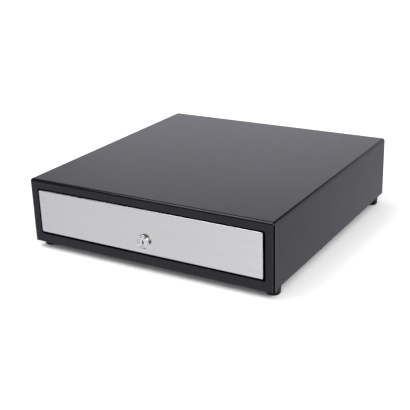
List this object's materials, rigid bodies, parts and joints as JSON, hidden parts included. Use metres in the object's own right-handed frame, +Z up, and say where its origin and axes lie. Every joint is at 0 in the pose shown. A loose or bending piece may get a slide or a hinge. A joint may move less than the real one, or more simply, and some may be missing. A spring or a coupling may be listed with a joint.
{
  "type": "cash drawer",
  "caption": "Flat steel counter case on rubber feet, with one wide roller drawer that has a brushed front, a key lock, a money till and a solenoid release.",
  "frame": {"origin": "bottom centre of the bounding box, on the surface that the feet stand on", "axes": "+X to the drawer's right seen from in front of it, +Y from the front to the back (the drawer opens towards -Y), +Z up"},
  "size_m": [0.41, 0.4266, 0.1115],
  "materials": {
    "black_abs": "black ABS, lightly textured",
    "case_paint": "satin powder coat, dark slate grey",
    "cup_abs": "dark grey ABS",
    "foot_rubber": "matt black rubber",
    "lock_chrome": "polished nickel-chrome",
    "screw_black": "black oxide",
    "stainless": "fine horizontal brushing",
    "steel_bright": "bright drawn steel",
    "switch_body": "black phenolic",
    "white_nylon": "natural acetal",
    "winding": "yellow-brown insulating tape over enamelled wire",
    "wire_pvc": "black PVC sheath",
    "zinc_steel": "zinc-plated pressed steel"
  },
  "bodies": {
    "case": {"case_shell": "case_paint", "base_plate": "case_paint", "rear_panel": "case_paint", "foot_front_left": "foot_rubber", "foot_front_right": "foot_rubber", "foot_rear_left": "foot_rubber", "foot_rear_right": "foot_rubber", "foot_screws": "screw_black", "case_screws": "screw_black", "rail_left": "zinc_steel", "rail_right": "zinc_steel", "case_roller_axles": "steel_bright", "latch_bracket": "zinc_steel", "latch_pivot_pin": "steel_bright", "solenoid_yoke": "zinc_steel", "solenoid_bobbin": "white_nylon", "solenoid_winding": "winding", "plunger_spring": "steel_bright", "ejector_pin": "steel_bright", "ejector_spring": "steel_bright", "status_switch": "switch_body", "interface_jack": "black_abs", "wire_harness": "wire_pvc"},
    "drawer": {"front_panel": "stainless", "drawer_front": "case_paint", "panel_nuts": "zinc_steel", "drawer_tray": "case_paint", "runner_left": "zinc_steel", "runner_right": "zinc_steel", "drawer_roller_axles": "steel_bright", "striker_bracket": "zinc_steel", "striker_pin": "steel_bright", "lock_housing": "lock_chrome", "lock_nut": "zinc_steel", "till_body": "black_abs", "bill_dividers": "black_abs", "clip_rod": "steel_bright", "clip_springs": "steel_bright", "coin_cup_1": "cup_abs", "coin_cup_2": "cup_abs", "coin_cup_3": "cup_abs", "coin_cup_4": "cup_abs", "coin_cup_5": "cup_abs"},
    "lock": {"lock_plug": "lock_chrome", "lock_cam": "zinc_steel", "cam_screw": "steel_bright"},
    "latch": {"latch_hook": "steel_bright"},
    "plunger": {"solenoid_plunger": "steel_bright"},
    "kicker": {"ejector_cap": "white_nylon"},
    "switch_leaf": {"switch_lever": "steel_bright"},
    "case_wheel_left": {"case_roller_left": "white_nylon"},
    "case_wheel_right": {"case_roller_right": "white_nylon"},
    "drawer_wheel_left": {"drawer_roller_left": "white_nylon"},
    "drawer_wheel_right": {"drawer_roller_right": "white_nylon"},
    "clip_1": {"bill_clip_1": "steel_bright"},
    "clip_2": {"bill_clip_2": "steel_bright"},
    "clip_3": {"bill_clip_3": "steel_bright"},
    "clip_4": {"bill_clip_4": "steel_bright"},
    "clip_5": {"bill_clip_5": "steel_bright"}
  },
  "joints": [
    {"name": "drawer_slide", "type": "slide", "parent": "case", "child": "drawer", "axis": [0, -1, 0], "range_m": [0, 0.32]},
    {"name": "lock_turn", "type": "hinge", "parent": "drawer", "child": "lock", "pos_m": [0, -0.2084, 0.0475], "axis": [0, 1, 0], "range_deg": [0, 90]},
    {"name": "latch_swing", "type": "hinge", "parent": "case", "child": "latch", "pos_m": [0, 0.1882, 0.03], "axis": [1, 0, 0], "range_deg": [-25.1, 0.1]},
    {"name": "plunger_slide", "type": "slide", "parent": "case", "child": "plunger", "axis": [0, 0, 1], "range_m": [-0.00351, 0], "deforming": ["plunger_spring"]},
    {"name": "kicker_slide", "type": "slide", "parent": "case", "child": "kicker", "axis": [0, -1, 0], "range_m": [-0.0002, 0.0122], "deforming": ["ejector_spring"]},
    {"name": "switch_swing", "type": "hinge", "parent": "case", "child": "switch_leaf", "pos_m": [0.0195, 0.1745, 0.0455], "axis": [0, 0, -1], "range_deg": [-0.5, 8.5]},
    {"name": "case_wheel_left_spin", "type": "hinge", "parent": "case", "child": "case_wheel_left", "pos_m": [-0.1842, -0.1824, 0.0385], "axis": [1, 0, 0], "continuous": true},
    {"name": "drawer_wheel_left_spin", "type": "hinge", "parent": "drawer", "child": "drawer_wheel_left", "pos_m": [-0.1842, 0.1576, 0.0391], "axis": [1, 0, 0], "continuous": true},
    {"name": "case_wheel_right_spin", "type": "hinge", "parent": "case", "child": "case_wheel_right", "pos_m": [0.1842, -0.1824, 0.0385], "axis": [1, 0, 0], "continuous": true},
    {"name": "drawer_wheel_right_spin", "type": "hinge", "parent": "drawer", "child": "drawer_wheel_right", "pos_m": [0.1842, 0.1576, 0.0391], "axis": [1, 0, 0], "continuous": true},
    {"name": "clip_1_swing", "type": "hinge", "parent": "drawer", "child": "clip_1", "pos_m": [-0.13944, 0.1496, 0.07], "axis": [-1, 0, 0], "range_deg": [0, 44], "stiffness_Nm_per_rad": 0.03, "springref_deg": -28.65},
    {"name": "clip_2_swing", "type": "hinge", "parent": "drawer", "child": "clip_2", "pos_m": [-0.06972, 0.1496, 0.07], "axis": [-1, 0, 0], "range_deg": [0, 44], "stiffness_Nm_per_rad": 0.03, "springref_deg": -28.65},
    {"name": "clip_3_swing", "type": "hinge", "parent": "drawer", "child": "clip_3", "pos_m": [0, 0.1496, 0.07], "axis": [-1, 0, 0], "range_deg": [0, 44], "stiffness_Nm_per_rad": 0.03, "springref_deg": -28.65},
    {"name": "clip_4_swing", "type": "hinge", "parent": "drawer", "child": "clip_4", "pos_m": [0.06972, 0.1496, 0.07], "axis": [-1, 0, 0], "range_deg": [0, 44], "stiffness_Nm_per_rad": 0.03, "springref_deg": -28.65},
    {"name": "clip_5_swing", "type": "hinge", "parent": "drawer", "child": "clip_5", "pos_m": [0.13944, 0.1496, 0.07], "axis": [-1, 0, 0], "range_deg": [0, 44], "stiffness_Nm_per_rad": 0.03, "springref_deg": -28.65}
  ],
  "couplings": [
    {"joint": "latch_swing", "follows": "plunger_slide", "rad_per_m": 124.31},
    {"joint": "kicker_slide", "follows": "drawer_slide", "ratio": 0.0375},
    {"joint": "switch_swing", "follows": "drawer_slide", "rad_per_m": 0.4363},
    {"joint": "case_wheel_left_spin", "follows": "drawer_slide", "rad_per_m": 125},
    {"joint": "drawer_wheel_left_spin", "follows": "drawer_slide", "rad_per_m": 111.11},
    {"joint": "case_wheel_right_spin", "follows": "drawer_slide", "rad_per_m": 125},
    {"joint": "drawer_wheel_right_spin", "follows": "drawer_slide", "rad_per_m": 111.11}
  ]
}
